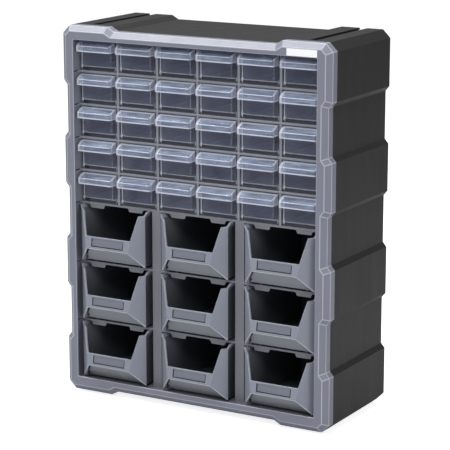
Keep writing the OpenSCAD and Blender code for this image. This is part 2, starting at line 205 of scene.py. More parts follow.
for name, place, aim, size, power in LAMPS:
    data = bpy.data.lights.new(name, "AREA")
    data.shape, data.size, data.size_y = "RECTANGLE", size[0], size[1]
    data.energy = power
    lamp = bpy.data.objects.new(name, data)
    lamp.location = place
    lamp.rotation_euler = (Vector(aim) - Vector(place)).to_track_quat("-Z", "Y").to_euler()
    bpy.context.scene.collection.objects.link(lamp)

# %% [markdown]
# ## Moulded plastic
# All the opaque pieces are injection moulded. Such a surface has a fine grain from the mould, slow changes of tone
# where the plastic flowed and cooled, and some handling marks that show in the gloss only. One flat colour would
# look like paint. One function makes the finish from three noises, and each colour of plastic calls it with its
# own numbers.

# %% Moulded plastic
MIX_A, MIX_B, MIX_RESULT = 6, 7, 2  # the sockets that a Mix node uses for colours
SCUFF, SPECK_GLOSS, GRAIN_HEIGHT = 0.1, 0.06, 0.4 * MM


def tinted(colour, tone):
    """A colour that a varying tone makes lighter and darker."""
    grey = tone.finish.add("ShaderNodeCombineColor", {}, {0: tone, 1: tone, 2: tone})
    return tone.finish.add("ShaderNodeMix", {"data_type": "RGBA", "blend_type": "MULTIPLY"},
                           {"Factor": 1.0, MIX_A: colour, MIX_B: grey}, output=MIX_RESULT)


def moulded(name, colour, roughness, mottle, grain=0.06):
    """An opaque plastic with clouds of tone, a mould's grain, and rubbed marks in its gloss."""
    finish = Finish(name, IOR=1.5)
    place = finish.add("ShaderNodeTexCoord", output="Object")
    cloud = finish.add("ShaderNodeTexNoise", {}, {"Vector": place, "Scale": 9, "Detail": 3, "Roughness": 0.55})
    speck = finish.add("ShaderNodeTexNoise", {}, {"Vector": place, "Scale": 900, "Detail": 2})
    rubbed = finish.add("ShaderNodeMapping", {}, {"Vector": place, "Scale": (60, 60, 7)})
    marks = finish.add("ShaderNodeTexNoise", {}, {"Vector": rubbed, "Scale": 1, "Detail": 4, "Roughness": 0.7})
    tone = 1 + (cloud - 0.5) * (2 * mottle) + (speck - 0.5) * mottle
    gloss = (marks - 0.5) * (2 * SCUFF) + (speck - 0.5) * SPECK_GLOSS + roughness
    bump = finish.add("ShaderNodeBump", {}, {"Height": speck, "Strength": grain, "Distance": GRAIN_HEIGHT})
    finish.feed(Base_Color=tinted(colour, tone), Roughness=gloss, Normal=bump)
    return finish.material


print("grain", GRAIN_HEIGHT / MM, "mm high")

# %% [markdown]
# ## Colours of the opaque plastics
# The housing is black, and the frame, the rack and the bins are greys with a little blue in them. Most pieces have
# a lighter second finish for their rounded edges, which is a painted highlight. The bins also have darker ones, which
# are painted shade: for their inner and outer walls, for the floor of the label recess, and for the grooves of the
# label recess and the grip. Their grip panel has a lighter grey, which is painted light on a slope that faces down.

# %% Opaque plastics
housing_black = moulded("housing black", srgb(25, 24, 24), 0.5, mottle=0.12, grain=0.14)
panel_black = moulded("panel black", srgb(34, 34, 36), 0.5, mottle=0.1, grain=0.12)
# Painted highlight for the housing's rounded edges.
black_edge_highlight = moulded("housing painted highlight", srgb(74, 73, 73), 0.42, mottle=0.1)
frame_grey = moulded("frame grey", srgb(121, 123, 137), 0.36, mottle=0.03)
# Painted highlight for the frame's rounded edges.
frame_edge_highlight = moulded("frame painted highlight", srgb(166, 168, 178), 0.3, mottle=0.03)
rack_grey = moulded("rack grey", srgb(118, 119, 128), 0.42, mottle=0.04)
drawer_rack_grey = moulded("drawer rack grey", srgb(128, 131, 140), 0.42, mottle=0.04)
# Painted highlight for the rack's rounded edges.
rack_edge_highlight = moulded("rack painted highlight", srgb(158, 161, 171), 0.36, mottle=0.04)
bin_grey = moulded("bin grey", srgb(130, 135, 147), 0.42, mottle=0.03)
# Painted light: a lighter grey for the grip panel, whose slope faces down.
grip_painted_light_grey = moulded("bin grip painted light grey", srgb(150, 154, 160), 0.42, mottle=0.03)
# Painted shade: darker greys for the bins' inner walls and outer side walls.
bin_inside_painted_shade = moulded("bin inside painted shade", srgb(84, 87, 93), 0.5, mottle=0.04)
bin_side_painted_shade = moulded("bin side painted shade", srgb(100, 104, 112), 0.46, mottle=0.04)
# Painted shade: darker greys for the label recess's floor and for the grooves.
bin_recess_painted_shade = moulded("bin recess painted shade", srgb(112, 117, 129), 0.45, mottle=0.03)
bin_groove_painted_shade = moulded("bin groove painted shade", srgb(30, 32, 37), 0.6, mottle=0.03)
# Painted highlight for the bins' rounded edges.
bin_edge_highlight = moulded("bin painted highlight", srgb(192, 195, 202), 0.34, mottle=0.03)
label_white = moulded("label white", srgb(240, 240, 240), 0.6, mottle=0.015, grain=0.02)
print("plastics:", [material.name for material in bpy.data.materials])

# %% [markdown]
# ## Clear plastic
# The drawers are clear, a little blue, and glossy. Real refraction through thirty nested boxes is slow and noisy,
# so the clear plastic is a mostly see-through shader. Its alpha grows where the surface is seen at a slant, as
# more light is thrown back there. Real clear plastic shows its edges best, where light comes out of it. Here that
# light is painted: denser, lighter finishes on narrow faces along the edges are painted highlights, and a dark,
# dense one on the drawer's foot is painted shade.

# %% Clear plastics
HAZE_TONE, HAZE_ALPHA = 0.2, 0.08


def clear_plastic(name, colour, face_alpha, slant_alpha, roughness, streaks=0):
    """A see-through plastic with a little haze, and with streaks across it if asked for."""
    finish = Finish(name, Roughness=roughness, IOR=1.5)
    place = finish.add("ShaderNodeTexCoord", output="Object")
    haze = finish.add("ShaderNodeTexNoise", {}, {"Vector": place, "Scale": 45, "Detail": 3})
    flow = finish.add("ShaderNodeMapping", {}, {"Vector": place, "Scale": (40, 25, 420)})
    streak = finish.add("ShaderNodeTexNoise", {}, {"Vector": flow, "Scale": 1, "Detail": 2, "Roughness": 0.6})
    slant = finish.add("ShaderNodeLayerWeight", {}, {"Blend": 0.35}, output="Facing")
    tone = (haze - 0.5) * HAZE_TONE + (streak - 0.5) * (streaks * 2) + 1
    alpha = slant * slant_alpha + (haze - 0.5) * HAZE_ALPHA + (streak - 0.5) * streaks + face_alpha
    finish.feed(Base_Color=tinted(colour, tone), Alpha=alpha)
    return finish.material


drawer_clear = clear_plastic("drawer clear", srgb(160, 164, 186), 0.04, 0.1, 0.1)
wall_clear = clear_plastic("drawer wall clear", srgb(150, 150, 164), 0.2, 0.1, 0.12)
window_clear = clear_plastic("window clear", srgb(150, 156, 184), 0.13, 0.08, 0.08)
# Painted highlight: a faint light line, used on the front panel also as a painted reflection.
painted_line_clear = clear_plastic("line painted highlight clear", srgb(214, 219, 232), 0.3, 0.15, 0.15)
# Painted highlight: the brighter line along lit edges.
edge_highlight_clear = clear_plastic("edge painted highlight clear", srgb(218, 223, 236), 0.5, 0.2, 0.15)
# Painted shade: the dark foot and ends of the front panel.
foot_shade_clear = clear_plastic("painted shade foot clear", srgb(30, 32, 40), 0.68, 0.1, 0.12)
pull_clear = clear_plastic("pull clear", srgb(172, 186, 212), 0.2, 0.2, 0.1, streaks=0.55)
print("clear plastics:", [material.name for material in bpy.data.materials if "clear" in material.name])

# %% [markdown]
# ## Housing, frame, label and rack
# These pieces are right as the CAD model has them, apart from their perfectly sharp edges. They could be modelled
# again, but modifiers can ease the edges of a mesh that stays as it is. The CAD mesh is made of loose triangles,
# so a Weld joins them and a Decimate makes whole faces of them, before a Bevel rounds the edges between and gives
# the round strips the lighter finish, which is a painted highlight.

# %% Finishes on the CAD nodes
# Each entry: the main finish, the lighter finish for the eased edges (a painted highlight, except on the label), and
# the bevel's width.
RACK = (rack_grey, rack_edge_highlight, 0.75 * MM)
CAD_FINISHES = {"housing": (housing_black, black_edge_highlight, 0.8 * MM), "back_panel": (panel_black, black_edge_highlight, 0.5 * MM),
                "front_frame": (frame_grey, frame_edge_highlight, 0.7 * MM), "blank_label": (label_white, label_white, 0.1 * MM)}
for row in range(1, DRAWER_ROWS + 1):
    CAD_FINISHES[f"drawer_tier_{row}"] = (drawer_rack_grey, rack_edge_highlight, 0.4 * MM)


def ease_edges(piece, width):
    """Join a CAD node's triangles into whole faces, then round its edges in the second finish, a painted highlight."""
    joined = piece.modifiers.new("join the triangles", "WELD")
    joined.merge_threshold = 0.01 * MM
    flat = piece.modifiers.new("whole faces", "DECIMATE")
    flat.decimate_type, flat.angle_limit = "DISSOLVE", math.radians(0.5)
    bevel = piece.modifiers.new("eased edges", "BEVEL")
    bevel.width, bevel.segments, bevel.limit_method = width, 2, "ANGLE"
    bevel.angle_limit, bevel.harden_normals = math.radians(25), True
    # The bevel's strips take the second finish, which is a painted highlight.
    bevel.use_clamp_overlap, bevel.material = True, 1


kept = [name for name in nodes if not name.startswith(("drawer_r", "bin_r"))]
for name in kept:
    # The second finish, for the eased edges, is a painted highlight, except on the label.
    main, edge, width = CAD_FINISHES.get(name, RACK)
    nodes[name].data.materials.clear()
    nodes[name].data.materials.append(main)
    nodes[name].data.materials.append(edge)
    ease_edges(nodes[name], width)
print("CAD nodes finished:", kept)

# %% [markdown]
# ## Working by hand
# The drawers and bins are modelled as in Blender's window: a cube is added and shaped in edit mode. Blender's cube
# is placed by its middle and its size, but the CAD model gives corners, so a helper turns these into that. It then
# applies the place, because a finished piece has its place in its mesh and its object at the origin.

# %% Cube between two corners
def leave_edit_mode():
    """Go back to object mode, with nothing selected."""
    if bpy.context.object and bpy.context.object.mode == "EDIT":
        bpy.ops.object.mode_set(mode="OBJECT")
    bpy.ops.object.select_all(action="DESELECT")


def cube_between(low, high):
    """A new cube that fills the box between two corners, left in edit mode."""
    leave_edit_mode()
    bpy.ops.mesh.primitive_cube_add(size=1, location=[(a + b) / 2 for a, b in zip(low, high)],
                                    scale=[b - a for a, b in zip(low, high)])
    bpy.ops.object.transform_apply(location=True, rotation=True, scale=True)
    bpy.ops.object.mode_set(mode="EDIT")
    return bpy.context.object


print("now in", bpy.context.mode, "mode")

# %% [markdown]
# ## Picking faces, edges and points
# An operator works on what is selected. In the window that is a click. A script could pick by number, but the
# numbers change with every cut. So each step picks by a rule that stays true, such as the faces that look forward
# or the edges that lie along the bottom.

# %% Picking
MOSTLY, EXACTLY = 0.9, 0.999  # how well a direction has to agree: 1 is fully


def near(a, b, reach=0.05 * MM):
    return abs(a - b) < reach


def pick_faces(test):
    """Select the faces whose middle and direction pass the test."""
    bpy.ops.mesh.select_mode(type="FACE")
    mesh = bmesh.from_edit_mesh(bpy.context.object.data)
    chosen = [face for face in mesh.faces if test(face.calc_center_median(), face.normal)]
    for face in mesh.faces:
        face.select_set(False)
    for face in chosen:
        face.select_set(True)
    bmesh.update_edit_mesh(bpy.context.object.data)
    return len(chosen)


def pick_edges(test):
    """Select the edges whose middle and direction pass the test."""
    bpy.ops.mesh.select_mode(type="EDGE")
    mesh = bmesh.from_edit_mesh(bpy.context.object.data)
    chosen = []
    for edge in mesh.edges:
        edge.select_set(False)
        a, b = (vertex.co for vertex in edge.verts)
        if test((a + b) / 2, (b - a).normalized()):
            chosen.append(edge)
    for edge in chosen:
        edge.select_set(True)
    bmesh.update_edit_mesh(bpy.context.object.data)
    return len(chosen)


def pick_points(test):
    """Select the corner points whose place passes the test."""
    bpy.ops.mesh.select_mode(type="VERT")
    mesh = bmesh.from_edit_mesh(bpy.context.object.data)
    for vertex in mesh.verts:
        vertex.select_set(test(vertex.co))
    mesh.select_flush_mode()
    bmesh.update_edit_mesh(bpy.context.object.data)
    return sum(vertex.select for vertex in mesh.verts)


print("degrees that a direction may be off:", [round(math.degrees(math.acos(v)), 1) for v in (MOSTLY, EXACTLY)])

# %% [markdown]
# ## Cuts, walls and finishes
# A moulding is a thin wall everywhere. Its inside could be modelled too, but it is quicker to shape the outside as
# an open skin and to let a Solidify modifier give that a wall, inwards, so that the outside stays at its size. A
# cut through all the faces gives them new edges to work on, and what such cuts leave too close together is merged.
# A piece carries several finishes, and its faces are given to them by the same kind of rule as above.

# %% Cuts, walls and finishes
def score(point, normal):
    """Cut all the faces along a plane, and keep both sides."""
    bpy.ops.mesh.select_all(action="SELECT")
    bpy.ops.mesh.bisect(plane_co=point, plane_no=normal)


def merge_close(reach, sliver):
    """Merge points that all but meet, and dissolve the slivers between them."""
    bpy.ops.mesh.select_all(action="SELECT")
    bpy.ops.mesh.remove_doubles(threshold=reach)
    bpy.ops.mesh.dissolve_degenerate(threshold=sliver)


def thicken(piece, wall, even=True):
    """Leave edit mode and give a shell its wall, inwards."""
    bpy.ops.mesh.select_all(action="SELECT")
    bpy.ops.mesh.normals_make_consistent(inside=False)
    bpy.ops.object.mode_set(mode="OBJECT")
    solid = piece.modifiers.new("wall", "SOLIDIFY")
    solid.thickness, solid.offset, solid.use_even_offset = wall, -1, even
    bpy.ops.object.modifier_apply(modifier=solid.name)


def finishes(piece, *materials):
    """The piece's finishes, of which the first is on it so far."""
    for material in materials:
        piece.data.materials.append(material)


def refinish(piece, material, test):
    """In object mode, give the faces whose middle and direction pass the test another finish."""
    index = list(piece.data.materials).index(material)
    chosen = [face for face in piece.data.polygons if test(face.center, face.normal)]
    for face in chosen:
        face.material_index = index
    return len(chosen)


def refinish_picked(piece, material):
    """In edit mode, give the selected faces another finish."""
    piece.active_material_index = list(piece.data.materials).index(material)
    bpy.ops.object.material_slot_assign()


print("walls grow inwards")

# %% [markdown]
# ## Soft edges
# No mould leaves a sharp edge. A Bevel modifier rounds every edge past an angle at once, which is surer than
# picking them. Its narrow strips take the piece's second finish, which is a lighter one: a painted highlight.
# Points that it leaves on top of each other are merged, so the mesh stays closed and clean.

# %% Soft edges
def round_edges(piece, width):
    """Bevel every sharp edge in the piece's second finish, a painted highlight, and shade the rest smooth."""
    leave_edit_mode()
    piece.select_set(True)
    bpy.context.view_layer.objects.active = piece
    bevel = piece.modifiers.new("mould radius", "BEVEL")
    bevel.width, bevel.segments, bevel.limit_method = width, 2, "ANGLE"
    # The bevel's strips take the second finish, a painted highlight.
    bevel.angle_limit, bevel.use_clamp_overlap, bevel.material = math.radians(30), True, 1
    bpy.ops.object.modifier_apply(modifier=bevel.name)
    bpy.ops.object.mode_set(mode="EDIT")
    merge_close(0.01 * MM, 0.01 * MM)
    bpy.ops.object.mode_set(mode="OBJECT")
    bpy.ops.object.shade_smooth_by_angle(angle=math.radians(40))


print("edges sharper than 30 degrees are rounded")

# %% [markdown]
# ## Sizes of the small drawer
# A drawer is one clear moulding: a tub with round lower edges, a front panel that stands a little above it, and a
# hooded pull with no bottom, so that fingers hook in from below. A lug on its rear wall meets a stop before it
# falls out. The CAD node's box gives the outer sizes, and the rest is read off the photograph.

# %% Sizes of the small drawer
low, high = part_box("drawer_r1_c1")
DRAWER_X, HALF = (low.x + high.x) / 2, (high.x - low.x) / 2
FLOOR, LUG_TOP, REAR = low.z, high.z, high.y
PULL_FRONT, PANEL = low.y, low.y + 13.8 * MM
SIDE_TOP, PANEL_TOP = FLOOR + 36.2 * MM, FLOOR + 37.6 * MM
WALL, CORNER, REAR_CORNER = 1.4 * MM, 5 * MM, 1.2 * MM


def across(at):
    """How far right of the drawer's middle a place is."""
    return at.x - DRAWER_X


print("drawer", [round(v / MM, 1) for v in high - low])

# %% [markdown]
# ## Tub of the drawer
# The tub could be drawn as an outline and pulled to its length. A cube is quicker: its top and its front are
# taken off, its lower edges are rounded along their length and then round the rear, and it is given its wall. The
# lug is a small block, one wall thick, on top of the rear wall.

# %% Tub of the drawer
tub = cube_between((DRAWER_X - HALF, PANEL + WALL / 2, FLOOR), (DRAWER_X + HALF, REAR, SIDE_TOP))
pick_faces(lambda at, facing: facing.z > MOSTLY or facing.y < -MOSTLY)
bpy.ops.mesh.delete(type="FACE")
pick_edges(lambda at, along: abs(along.y) > MOSTLY and near(at.z, FLOOR))
bpy.ops.mesh.bevel(offset=CORNER, segments=6, affect="EDGES")
pick_edges(lambda at, along: near(at.y, REAR) and not near(at.z, SIDE_TOP))
bpy.ops.mesh.bevel(offset=REAR_CORNER, segments=3, affect="EDGES")
thicken(tub, WALL)
# The tub's rounded edges get the faint line finish, a painted highlight.
finishes(tub, drawer_clear, painted_line_clear, wall_clear)
refinish(tub, wall_clear, lambda at, facing: abs(facing.x) > MOSTLY and abs(across(at)) > HALF - 2 * MM)
round_edges(tub, 0.25 * MM)
print("tub", [round(v / MM, 1) for v in tub.dimensions])

LUG_HALF, LUG_ROOT = 8 * MM, 0.8 * MM
lug = cube_between((DRAWER_X - LUG_HALF, REAR - WALL, SIDE_TOP - LUG_ROOT), (DRAWER_X + LUG_HALF, REAR, LUG_TOP))
# The lug's rounded edges get the faint line finish, a painted highlight.
finishes(lug, drawer_clear, painted_line_clear)
round_edges(lug, 0.3 * MM)
print("lug", [round(v / MM, 1) for v in lug.dimensions])

# %% [markdown]
# ## Front panel of the drawer
# Through the panel one sees a dark foot, where the tub's round lower edge bends the light away, a bright line
# above it, and a window with a faint line near its right end. The foot is painted shade, the bright line a painted
# highlight, and the faint line a painted reflection. A picture could show them, but cut into the front face they
# stay sharp from near by. An inset makes the rim, its lower points are lifted over the foot, a second inset frames
# the window, and two cuts mark the line.

# %% Front panel of the drawer
RIM, FOOT_RISE, WINDOW_RIM = 1.2 * MM, 3.4 * MM, 1.3 * MM
FAINT_LINE = (HALF - 8 * MM, HALF - 7.2 * MM)


def in_window(at, facing):
    """The middle of the panel's front face."""
    return facing.y < -MOSTLY and abs(across(at)) < HALF - 3 * MM and 6 * MM < at.z - FLOOR < 30 * MM


panel = cube_between((DRAWER_X - HALF, PANEL, FLOOR), (DRAWER_X + HALF, PANEL + WALL, PANEL_TOP))
pick_edges(lambda at, along: abs(along.y) > MOSTLY and near(at.z, FLOOR))
bpy.ops.mesh.bevel(offset=CORNER, segments=6, affect="EDGES")
pick_faces(lambda at, facing: facing.y < -MOSTLY)
bpy.ops.mesh.inset(thickness=RIM)
pick_points(lambda at: near(at.y, PANEL) and FLOOR + MM < at.z < FLOOR + 6 * MM and abs(across(at)) < HALF - 1.1 * MM)
bpy.ops.transform.translate(value=(0, 0, FOOT_RISE))
print("window faces:", pick_faces(in_window))
bpy.ops.mesh.inset(thickness=WINDOW_RIM)
for right in FAINT_LINE:
    pick_faces(in_window)
    bpy.ops.mesh.bisect(plane_co=(DRAWER_X + right, 0, 0), plane_no=(1, 0, 0))

# %% [markdown]
# ## Finishes of the front panel
# Each face on the front now gets the clear plastic that belongs there, from the bottom up: painted shade on the
# foot and ends, a painted highlight as the bright line over the foot, a painted reflection as the faint line, and the
# clearer strip beside it. The left end has a painted highlight strip, because the photograph looks into the tub's
# left wall there.

# %% Finishes of the front panel
def front_strip(material, test):
    """Refinish the front faces of which the distance right of the middle and the height pass the test."""
    refinish(panel, material, lambda at, facing: facing.y < -MOSTLY and near(at.y, PANEL)
             and test(across(at), at.z - FLOOR))


finishes(panel, window_clear, edge_highlight_clear, painted_line_clear, foot_shade_clear, drawer_clear)
bpy.ops.object.mode_set(mode="OBJECT")
# Painted shade on the foot and both ends.
front_strip(foot_shade_clear, lambda right, up: up < 4.5 * MM or abs(right) > HALF - MM)
# A painted highlight over the foot, and a painted reflection as the faint line.
front_strip(painted_line_clear, lambda right, up: 4.5 * MM < up < 6.5 * MM)
front_strip(painted_line_clear, lambda right, up: FAINT_LINE[0] < right < FAINT_LINE[1])
front_strip(drawer_clear, lambda right, up: FAINT_LINE[1] < right < HALF - MM and up > 6.5 * MM)
# A painted highlight strip at the left end, and one on the panel's top.
front_strip(edge_highlight_clear, lambda right, up: -HALF + MM < right < -HALF + 3.4 * MM and up > 3.4 * MM)
refinish(panel, edge_highlight_clear, lambda at, facing: facing.z > MOSTLY and near(at.z, PANEL_TOP))
round_edges(panel, 0.2 * MM)
print("front panel", len(panel.data.polygons), "faces")

# %% [markdown]
# ## Hood of the pull
# The pull is a hood: its top slopes down to a rolled front edge, and it is open below and behind. Its outline could
# be drawn from the side and pulled across, but a cube without its bottom and back has the closed ends already. Its
# upper front points are moved down, a cut behind them is lifted a little to give the slope its bend, and then the
# upright front edges and the long edge over the front are rolled.

# %% Hood of the pull
PULL_HALF, PULL_FOOT = HALF - 1.1 * MM, FLOOR + 24.8 * MM
HOOD_DROP, BEND_Y, BEND_RISE = 5.4 * MM, PANEL - 5.5 * MM, 0.9 * MM
END_ROLL, FRONT_ROLL = 2.5 * MM, 2.4 * MM

pull = cube_between((DRAWER_X - PULL_HALF, PULL_FRONT, PULL_FOOT), (DRAWER_X + PULL_HALF, PANEL, PANEL_TOP))
pick_faces(lambda at, facing: facing.z < -MOSTLY or facing.y > MOSTLY)
bpy.ops.mesh.delete(type="FACE")
pick_points(lambda at: near(at.z, PANEL_TOP) and near(at.y, PULL_FRONT))
bpy.ops.transform.translate(value=(0, 0, -HOOD_DROP))
score((0, BEND_Y, 0), (0, 1, 0))
pick_points(lambda at: near(at.y, BEND_Y) and at.z > PULL_FOOT + MM)
bpy.ops.transform.translate(value=(0, 0, BEND_RISE))
pick_edges(lambda at, along: abs(along.z) > MOSTLY and near(at.y, PULL_FRONT))
bpy.ops.mesh.bevel(offset=END_ROLL, segments=4, affect="EDGES")
pick_edges(lambda at, along: at.z > PULL_FOOT + 6 * MM and at.y < PANEL - 10.5 * MM and abs(along.x) > 0.1
           and abs(along.z) < 0.5)
bpy.ops.mesh.bevel(offset=FRONT_ROLL, segments=4, affect="EDGES", clamp_overlap=True)
merge_close(0.05 * MM, 0.02 * MM)
print("hood faces:", len(bmesh.from_edit_mesh(pull.data).faces))

# %% [markdown]
# ## Painted highlights on the pull's edges
# The pull is the brightest part of a drawer, and its outline is what the eye reads. Its light is painted: the rim of
# each end has a painted highlight and its clearer middle a fainter one, so the ends get an inset. Four cuts then
# mark a lip along the foot, a strip where the hood meets the panel, and one at each end, for more painted
# highlights. The strips are finished after the wall is on, so that the wall's own edges can take part.

# %% Painted highlights on the pull's edges
LIP, ROOT_Y, PULL_WALL = 1.5 * MM, PANEL - 4.2 * MM, 1.3 * MM
LEFT_STRIP, RIGHT_STRIP = DRAWER_X - PULL_HALF + 3.9 * MM, DRAWER_X + PULL_HALF - 1.3 * MM


def in_end(at, facing):
    """On either end of the pull."""
    return abs(facing.x) > 0.995


def end_middle(at):
    """Inside the rim of an end."""
    return PANEL - 9 * MM < at.y < PANEL - 2 * MM and PULL_FOOT + 4 * MM < at.z < PANEL_TOP - 4 * MM


# The pull's second and third finishes are painted highlights, strong and faint.
finishes(pull, pull_clear, edge_highlight_clear, painted_line_clear)
print("ends of the pull:", pick_faces(in_end))
bpy.ops.mesh.inset(thickness=1.6 * MM, use_even_offset=False)
pick_faces(in_end)
# A painted highlight on the rims of the ends, and a fainter one on their middles.
refinish_picked(pull, edge_highlight_clear)
pick_faces(lambda at, facing: in_end(at, facing) and end_middle(at))
refinish_picked(pull, painted_line_clear)
for point, normal in (((0, 0, PULL_FOOT + LIP), (0, 0, 1)), ((0, ROOT_Y, 0), (0, 1, 0)),
                      ((LEFT_STRIP, 0, 0), (1, 0, 0)), ((RIGHT_STRIP, 0, 0), (1, 0, 0))):
    score(point, normal)
merge_close(0.03 * MM, 0.02 * MM)
thicken(pull, PULL_WALL, even=False)
# Painted highlights, in turn: the underside, the root and the right end, the fold, a corner strip, the lip, and the
# left end.
refinish(pull, painted_line_clear, lambda at, facing: at.z < PULL_FOOT + 0.01 * MM)
refinish(pull, edge_highlight_clear, lambda at, facing: facing.z > 0.3 and (at.y > ROOT_Y or at.x > RIGHT_STRIP))
refinish(pull, edge_highlight_clear, lambda at, facing: 0.35 < facing.z < 0.8 and facing.y < -0.5)
refinish(pull, painted_line_clear, lambda at, facing: 0.25 < facing.x < 0.5 and facing.y < -0.5)
refinish(pull, edge_highlight_clear, lambda at, facing: at.z < PULL_FOOT + LIP and at.y < PANEL - 0.5 * MM)
refinish(pull, edge_highlight_clear, lambda at, facing: facing.y < -0.2 and at.x < LEFT_STRIP)
round_edges(pull, 0.4 * MM)
print("pull", len(pull.data.polygons), "faces")

# %% [markdown]
# ## One drawer, then thirty
# All thirty drawers come from one mould. The four pieces are joined to one, which is copied to each place with a
# mesh of its own, because every drawer slides by itself. A linked copy would be lighter, but then all of them
# would have to share one place. Each copy replaces its CAD node and rides on that drawer's body.

# %% One drawer, then thirty
def join(pieces, name):
    """Several objects as one piece, under one name."""
    leave_edit_mode()
    for piece in pieces:
        piece.select_set(True)
    bpy.context.view_layer.objects.active = pieces[0]
    bpy.ops.object.join()
    pieces[0].name = name
    return pieces[0]


def copies(first, prefix, node_prefix, rows, columns):
    """Copy a finished piece to the place of each CAD node of its kind, each with its own mesh."""
    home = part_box(f"{node_prefix}1_c1")[0]
    for row in range(1, rows + 1):
        for column in range(1, columns + 1):
            node = f"{node_prefix}{row}_c{column}"
            piece = first
            if (row, column) != (1, 1):
                piece = bpy.data.objects.new(f"{prefix}{row}_c{column}", first.data.copy())
                bpy.context.scene.collection.objects.link(piece)
                piece.data.transform(Matrix.Translation(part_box(node)[0] - home))
            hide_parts(node)
            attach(piece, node)


clear_drawer = join([tub, lug, panel, pull], "clear_drawer_r1_c1")
copies(clear_drawer, "clear_drawer_r", "drawer_r", DRAWER_ROWS, DRAWER_COLUMNS)
print("clear drawers:", len(clear_drawer.data.polygons), "faces each")

# %% [markdown]
# ## Sizes of the open-front bin
# A bin has a nose that narrows forward to a bar with a label recess, a mouth cut back above the bar, a finger grip
# cut in below it, and a rim that leans out along both sides. The sizes again start from the CAD node's box. Each
# slanting face of the nose is kept as its direction, which later steps use to find that face.

# %% Sizes of the bin
low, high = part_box("bin_r1_c1")
RIM_LEAN, BIN_WALL = 2.6 * MM, 2 * MM
BIN_X, BIN_HALF = (low.x + high.x) / 2, (high.x - low.x) / 2 - RIM_LEAN
BASE, RIM_TOP, BIN_REAR = low.z, high.z, high.y
BAR_Y, SIDE_Y = low.y, low.y + 15.7 * MM
BAR_FOOT, BAR_TOP, MOUTH = BASE + 19.4 * MM, BASE + 35.2 * MM, RIM_TOP - 4.8 * MM
TOP_Y, MOUTH_Y = BAR_Y + 2.6 * MM, SIDE_Y - 5.69 * MM

NOSE_SIDE = (13.1, -14.5)  # the way in which the nose's right side faces, seen from above
BAR_FACING = Vector((0, BAR_FOOT - BAR_TOP, TOP_Y - BAR_Y)).normalized()
MOUTH_FACING = Vector((0, BAR_TOP - MOUTH, MOUTH_Y - TOP_Y)).normalized()
GRIP_FACING = Vector((0, BASE - BAR_FOOT, BAR_Y - SIDE_Y)).normalized()
GRIP_BACK = SIDE_Y + 4 * MM / -GRIP_FACING.z


def aside(at):
    """How far from the bin's middle a place is, to either side."""
    return abs(at.x - BIN_X)


def outward(at, facing):
    """1 where a face looks straight out to its own side of the bin, and -1 where it looks straight in."""
    return facing.x * math.copysign(1, at.x - BIN_X)


print("bin", [round(v / MM, 1) for v in high - low])

# %% [markdown]
# ## Outside of the bin
# The outside is all flat faces. It could be built point by point, but a block cut by one plane for each face is
# closer to how a model maker would saw it, and each plane is easy to check against the photograph.

# %% Outside of the bin
def cut_off(point, facing):
    """Cut away all that lies beyond a plane, on the side that it faces, and close the cut."""
    bpy.ops.mesh.select_all(action="SELECT")
    bpy.ops.mesh.bisect(plane_co=point, plane_no=Vector(facing).normalized(), use_fill=True, clear_outer=True,
                        threshold=0.001 * MM)


def cut_nose(half):
    """Cut both slanting sides of the nose, which start at this half width."""
    for side in (-1, 1):
        cut_off((BIN_X + side * half, SIDE_Y, BASE), (side * NOSE_SIDE[0], NOSE_SIDE[1], 0))


shell = cube_between((BIN_X - BIN_HALF, BAR_Y - 2 * MM, BASE), (BIN_X + BIN_HALF, BIN_REAR, MOUTH))
cut_nose(BIN_HALF)
cut_off((BIN_X, BAR_Y, BAR_FOOT), BAR_FACING)
cut_off((BIN_X, TOP_Y, BAR_TOP), MOUTH_FACING)
cut_off((BIN_X, BAR_Y, BAR_FOOT), GRIP_FACING)
print("faces of the outside:", len(bmesh.from_edit_mesh(shell.data).faces))

# %% [markdown]
# ## Mouth, grip opening and rim
# The top, the mouth and the slope below the bar are open, so their faces are deleted, and the bottom's front part
# with them. The walls step in a little behind the front corners, which leaves the front standing as a flange. The
# rim is pulled up from the upper edges and widened, so that it leans out. After that the skin gets its wall.

# %% Mouth, grip opening and rim
STEP, STEP_Y, STEP_TOP, RIM_SHIFT = 2.4 * MM, SIDE_Y + 3.4 * MM, MOUTH - 5 * MM, 1.8 * MM


def widen(half):
    """Scale what is selected to a new half width, about the bin's middle."""
    bpy.ops.transform.resize(value=(half / BIN_HALF, 1, 1), center_override=(BIN_X, 0, 0))


pick_faces(lambda at, facing: facing.z > EXACTLY or facing.dot(MOUTH_FACING) > EXACTLY and at.z > BAR_TOP
           or facing.dot(GRIP_FACING) > EXACTLY)
bpy.ops.mesh.delete(type="FACE")
pick_faces(lambda at, facing: facing.z < -EXACTLY and near(at.z, BASE))
bpy.ops.mesh.bisect(plane_co=(0, GRIP_BACK, 0), plane_no=(0, -1, 0))
pick_faces(lambda at, facing: facing.z < -EXACTLY and near(at.z, BASE) and at.y < GRIP_BACK)
bpy.ops.mesh.delete(type="FACE")
score((0, STEP_Y, 0), (0, 1, 0))
score((0, 0, STEP_TOP), (0, 0, 1))
pick_points(lambda at: at.y > SIDE_Y + 3 * MM and at.z < MOUTH - 4 * MM)
widen(BIN_HALF - STEP)
print("rim edges:", pick_edges(lambda at, along: near(at.z, MOUTH) and at.y > SIDE_Y))
bpy.ops.mesh.extrude_edges_move(TRANSFORM_OT_translate={"value": (0, 0, RIM_TOP - MOUTH)})
widen(BIN_HALF + RIM_LEAN)
pick_points(lambda at: near(at.z, RIM_TOP) and at.y < SIDE_Y + 4 * MM)
bpy.ops.transform.translate(value=(0, RIM_SHIFT, 0))
thicken(shell, BIN_WALL)
print("shell", [round(v / MM, 1) for v in shell.dimensions])

